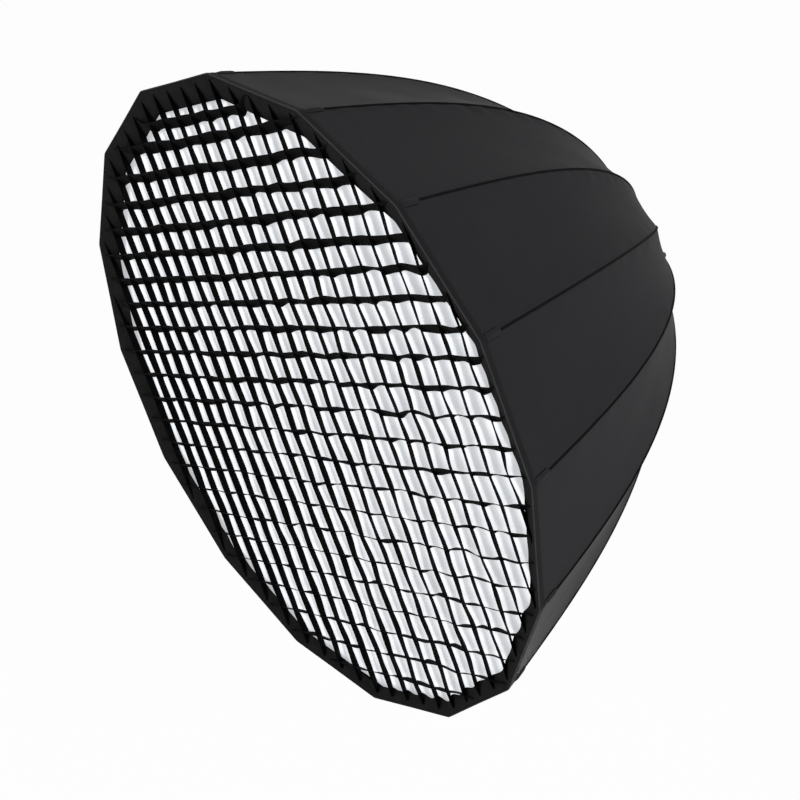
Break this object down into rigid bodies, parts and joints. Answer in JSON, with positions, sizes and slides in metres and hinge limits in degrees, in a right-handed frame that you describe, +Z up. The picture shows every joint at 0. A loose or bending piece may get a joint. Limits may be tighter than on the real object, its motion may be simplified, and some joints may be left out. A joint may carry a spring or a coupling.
{
  "type": "softbox",
  "caption": "Deep round softbox: hinged spring rods on a bayonet speed ring stretch a black canopy, with a white front sheet and a fabric grid to soften and narrow studio light.",
  "frame": {"origin": "on the optical axis, at the seat face of the bayonet flange", "axes": "+Y points back along the optical axis into the lamp, light leaves along -Y, +Z is up through the top rod"},
  "size_m": [1.2028, 0.8238, 1.2028],
  "materials": {
    "adapter_metal": "turned, satin",
    "ring_metal": "black powder coat",
    "bright_steel": "bright",
    "knob_plastic": "moulded, fine grain",
    "knuckle_nylon": "moulded nylon",
    "spring_rod": "drawn wire",
    "canopy_nylon": "coated plain weave",
    "black_tape": "ribbed tape",
    "black_elastic": "ribbed elastic",
    "hook_loop": "hook and loop pile",
    "white_diffuser": "thin white weave",
    "grid_fabric": "stiffened black cloth"
  },
  "bodies": {
    "adapter": {"adapter_ring": "adapter_metal", "retaining_ring": "ring_metal", "retaining_screws": "bright_steel"},
    "ring": {"speed_ring": "ring_metal", "hinge_pins": "bright_steel", "rear_cuff": "black_elastic", "canopy": "canopy_nylon", "rim_binding": "black_tape", "corner_patches": "black_tape", "rod_pockets": "black_tape", "hook_tape": "hook_loop", "front_sheet": "white_diffuser", "inner_baffle": "white_diffuser", "baffle_loops": "black_elastic", "grid_border": "grid_fabric", "grid_strips": "grid_fabric"},
    "lock": {"lock_screw": "bright_steel", "lock_knob": "knob_plastic"},
    "rod_01": {"rod_01": "spring_rod", "knuckle_01": "knuckle_nylon"},
    "rod_02": {"rod_02": "spring_rod", "knuckle_02": "knuckle_nylon"},
    "rod_03": {"rod_03": "spring_rod", "knuckle_03": "knuckle_nylon"},
    "rod_04": {"rod_04": "spring_rod", "knuckle_04": "knuckle_nylon"},
    "rod_05": {"rod_05": "spring_rod", "knuckle_05": "knuckle_nylon"},
    "rod_06": {"rod_06": "spring_rod", "knuckle_06": "knuckle_nylon"},
    "rod_07": {"rod_07": "spring_rod", "knuckle_07": "knuckle_nylon"},
    "rod_08": {"rod_08": "spring_rod", "knuckle_08": "knuckle_nylon"},
    "rod_09": {"rod_09": "spring_rod", "knuckle_09": "knuckle_nylon"},
    "rod_10": {"rod_10": "spring_rod", "knuckle_10": "knuckle_nylon"},
    "rod_11": {"rod_11": "spring_rod", "knuckle_11": "knuckle_nylon"},
    "rod_12": {"rod_12": "spring_rod", "knuckle_12": "knuckle_nylon"},
    "rod_13": {"rod_13": "spring_rod", "knuckle_13": "knuckle_nylon"},
    "rod_14": {"rod_14": "spring_rod", "knuckle_14": "knuckle_nylon"},
    "rod_15": {"rod_15": "spring_rod", "knuckle_15": "knuckle_nylon"},
    "rod_16": {"rod_16": "spring_rod", "knuckle_16": "knuckle_nylon"}
  },
  "joints": [
    {"name": "ring_turn", "type": "hinge", "parent": "adapter", "child": "ring", "pos_m": [0, 0, 0], "axis": [0, 1, 0], "continuous": true},
    {"name": "lock_turn", "type": "hinge", "parent": "ring", "child": "lock", "pos_m": [0.09808, -0.0095, -0.01951], "axis": [0.9808, 0, -0.1951], "range_deg": [0, 360]},
    {"name": "rod_01_fold", "type": "hinge", "parent": "ring", "child": "rod_01", "pos_m": [0, -0.0152, 0.08], "axis": [1, 0, 0], "range_deg": [0, 33], "deforming": ["canopy", "rim_binding", "corner_patches", "rod_pockets", "hook_tape", "front_sheet", "inner_baffle", "baffle_loops", "grid_border", "grid_strips"]},
    {"name": "rod_02_fold", "type": "hinge", "parent": "ring", "child": "rod_02", "pos_m": [0.03061, -0.0152, 0.07391], "axis": [0.9239, 0, -0.3827], "range_deg": [0, 33]},
    {"name": "rod_03_fold", "type": "hinge", "parent": "ring", "child": "rod_03", "pos_m": [0.05657, -0.0152, 0.05657], "axis": [0.7071, 0, -0.7071], "range_deg": [0, 33]},
    {"name": "rod_04_fold", "type": "hinge", "parent": "ring", "child": "rod_04", "pos_m": [0.07391, -0.0152, 0.03061], "axis": [0.3827, 0, -0.9239], "range_deg": [0, 33]},
    {"name": "rod_05_fold", "type": "hinge", "parent": "ring", "child": "rod_05", "pos_m": [0.08, -0.0152, 0], "axis": [0, 0, -1], "range_deg": [0, 33]},
    {"name": "rod_06_fold", "type": "hinge", "parent": "ring", "child": "rod_06", "pos_m": [0.07391, -0.0152, -0.03061], "axis": [-0.3827, 0, -0.9239], "range_deg": [0, 33]},
    {"name": "rod_07_fold", "type": "hinge", "parent": "ring", "child": "rod_07", "pos_m": [0.05657, -0.0152, -0.05657], "axis": [-0.7071, 0, -0.7071], "range_deg": [0, 33]},
    {"name": "rod_08_fold", "type": "hinge", "parent": "ring", "child": "rod_08", "pos_m": [0.03061, -0.0152, -0.07391], "axis": [-0.9239, 0, -0.3827], "range_deg": [0, 33]},
    {"name": "rod_09_fold", "type": "hinge", "parent": "ring", "child": "rod_09", "pos_m": [0, -0.0152, -0.08], "axis": [-1, 0, 0], "range_deg": [0, 33]},
    {"name": "rod_10_fold", "type": "hinge", "parent": "ring", "child": "rod_10", "pos_m": [-0.03061, -0.0152, -0.07391], "axis": [-0.9239, 0, 0.3827], "range_deg": [0, 33]},
    {"name": "rod_11_fold", "type": "hinge", "parent": "ring", "child": "rod_11", "pos_m": [-0.05657, -0.0152, -0.05657], "axis": [-0.7071, 0, 0.7071], "range_deg": [0, 33]},
    {"name": "rod_12_fold", "type": "hinge", "parent": "ring", "child": "rod_12", "pos_m": [-0.07391, -0.0152, -0.03061], "axis": [-0.3827, 0, 0.9239], "range_deg": [0, 33]},
    {"name": "rod_13_fold", "type": "hinge", "parent": "ring", "child": "rod_13", "pos_m": [-0.08, -0.0152, 0], "axis": [0, 0, 1], "range_deg": [0, 33]},
    {"name": "rod_14_fold", "type": "hinge", "parent": "ring", "child": "rod_14", "pos_m": [-0.07391, -0.0152, 0.03061], "axis": [0.3827, 0, 0.9239], "range_deg": [0, 33]},
    {"name": "rod_15_fold", "type": "hinge", "parent": "ring", "child": "rod_15", "pos_m": [-0.05657, -0.0152, 0.05657], "axis": [0.7071, 0, 0.7071], "range_deg": [0, 33]},
    {"name": "rod_16_fold", "type": "hinge", "parent": "ring", "child": "rod_16", "pos_m": [-0.03061, -0.0152, 0.07391], "axis": [0.9239, 0, 0.3827], "range_deg": [0, 33]}
  ],
  "couplings": [
    {"joint": "rod_02_fold", "follows": "rod_01_fold", "ratio": 1},
    {"joint": "rod_03_fold", "follows": "rod_01_fold", "ratio": 1},
    {"joint": "rod_04_fold", "follows": "rod_01_fold", "ratio": 1},
    {"joint": "rod_05_fold", "follows": "rod_01_fold", "ratio": 1},
    {"joint": "rod_06_fold", "follows": "rod_01_fold", "ratio": 1},
    {"joint": "rod_07_fold", "follows": "rod_01_fold", "ratio": 1},
    {"joint": "rod_08_fold", "follows": "rod_01_fold", "ratio": 1},
    {"joint": "rod_09_fold", "follows": "rod_01_fold", "ratio": 1},
    {"joint": "rod_10_fold", "follows": "rod_01_fold", "ratio": 1},
    {"joint": "rod_11_fold", "follows": "rod_01_fold", "ratio": 1},
    {"joint": "rod_12_fold", "follows": "rod_01_fold", "ratio": 1},
    {"joint": "rod_13_fold", "follows": "rod_01_fold", "ratio": 1},
    {"joint": "rod_14_fold", "follows": "rod_01_fold", "ratio": 1},
    {"joint": "rod_15_fold", "follows": "rod_01_fold", "ratio": 1},
    {"joint": "rod_16_fold", "follows": "rod_01_fold", "ratio": 1}
  ]
}
